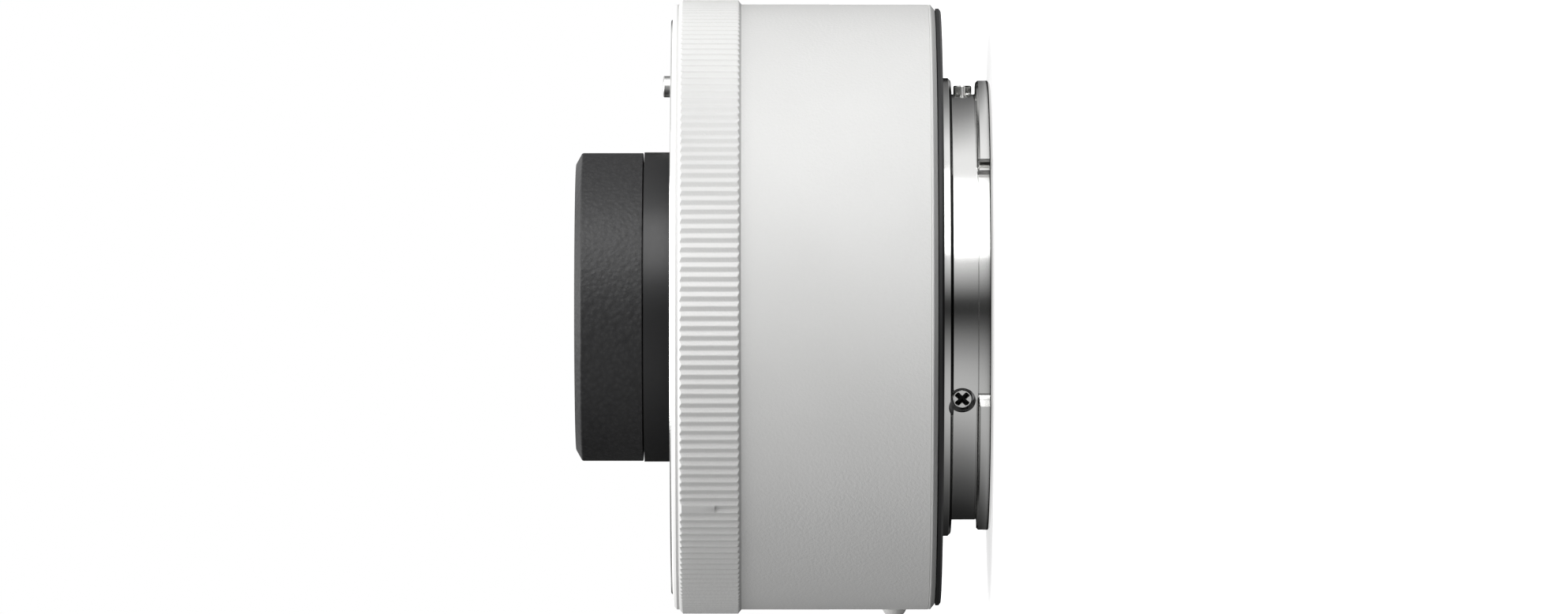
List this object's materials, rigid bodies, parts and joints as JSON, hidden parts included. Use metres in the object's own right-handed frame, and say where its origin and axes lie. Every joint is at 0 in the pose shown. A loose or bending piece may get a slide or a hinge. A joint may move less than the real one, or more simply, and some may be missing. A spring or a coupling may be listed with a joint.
{
  "type": "camera teleconverter",
  "caption": "Lens extender with a white barrel, a protruding black glass barrel, a female bayonet in front and a male bayonet behind.",
  "frame": {"origin": "centre of the seat that meets the camera, on the optical axis", "axes": "+Z along the optical axis towards the lens; -X through the white index bead; +X through the middle of the contacts"},
  "size_m": [0.0628, 0.0624, 0.0421],
  "materials": {
    "white_paint": "fine satin off-white paint",
    "black_texture": "leather-like black grain",
    "black_satin": "smooth satin black",
    "black_matte": "matt black",
    "black_plastic": "moulded matt black",
    "bayonet_metal": "turned bright metal",
    "steel": "bright steel",
    "aluminium": "machined",
    "gold_contact": "gold plated",
    "rubber_black": "matt rubber",
    "glass": "coated optical glass",
    "white_mark": "white enamel",
    "board_green": "solder mask",
    "chip_black": "matt",
    "flex_amber": "polyimide film"
  },
  "bodies": {
    "housing": {"hood_shell": "black_texture", "lens_barrel": "black_satin", "front_retaining_ring": "black_matte", "spacer_ring_1": "black_matte", "spacer_ring_2": "black_matte", "spacer_ring_3": "black_matte", "rear_retaining_ring": "black_matte", "barrel_screws": "steel", "chassis": "black_matte", "main_barrel": "white_paint", "grip_ring": "white_paint", "front_rim": "white_paint", "front_mount_ring": "bayonet_metal", "mount_spring": "steel", "front_mount_screws": "steel", "lens_index_dot": "white_mark", "lock_pin_spring": "steel", "front_contact_block": "black_plastic", "front_contact_springs": "steel", "contact_block_screws": "steel", "front_flex_cable": "flex_amber", "circuit_board": "board_green", "board_screws": "steel", "circuit_chips": "chip_black", "rear_flex_cable": "flex_amber", "rear_mount_ring": "bayonet_metal", "rear_mount_screws": "steel", "rear_shim": "steel", "rear_seal": "rubber_black", "rear_baffle": "black_plastic", "rear_contact_block": "black_plastic", "rear_contact_pads": "gold_contact", "neck_screws": "steel", "index_bead": "white_mark", "lens_element_1": "glass", "lens_element_2": "glass", "lens_element_3": "glass", "lens_element_4": "glass", "lens_element_5": "glass", "lens_element_6": "glass", "lens_element_7": "glass", "lens_element_8": "glass"},
    "release_lever": {"release_knob": "black_satin", "release_slider": "steel"},
    "lock_pin": {"lock_pin": "steel"},
    "contact_pins": {"front_contact_pins": "gold_contact"}
  },
  "joints": [
    {"name": "release_lever_slide", "type": "slide", "parent": "housing", "child": "release_lever", "axis": [0, 0, -1], "range_m": [0, 0.0012], "stiffness_N_per_m": 300, "springref_m": -0.001},
    {"name": "lock_pin_slide", "type": "slide", "parent": "housing", "child": "lock_pin", "axis": [0, 0, -1], "range_m": [0, 0.0012], "stiffness_N_per_m": 300, "springref_m": -0.001, "deforming": ["lock_pin_spring"]},
    {"name": "contact_pins_slide", "type": "slide", "parent": "housing", "child": "contact_pins", "axis": [0, 0, -1], "range_m": [0, 0.0006], "stiffness_N_per_m": 400, "springref_m": -0.0005, "deforming": ["front_contact_springs"]}
  ],
  "couplings": [
    {"joint": "lock_pin_slide", "follows": "release_lever_slide", "ratio": 1}
  ]
}
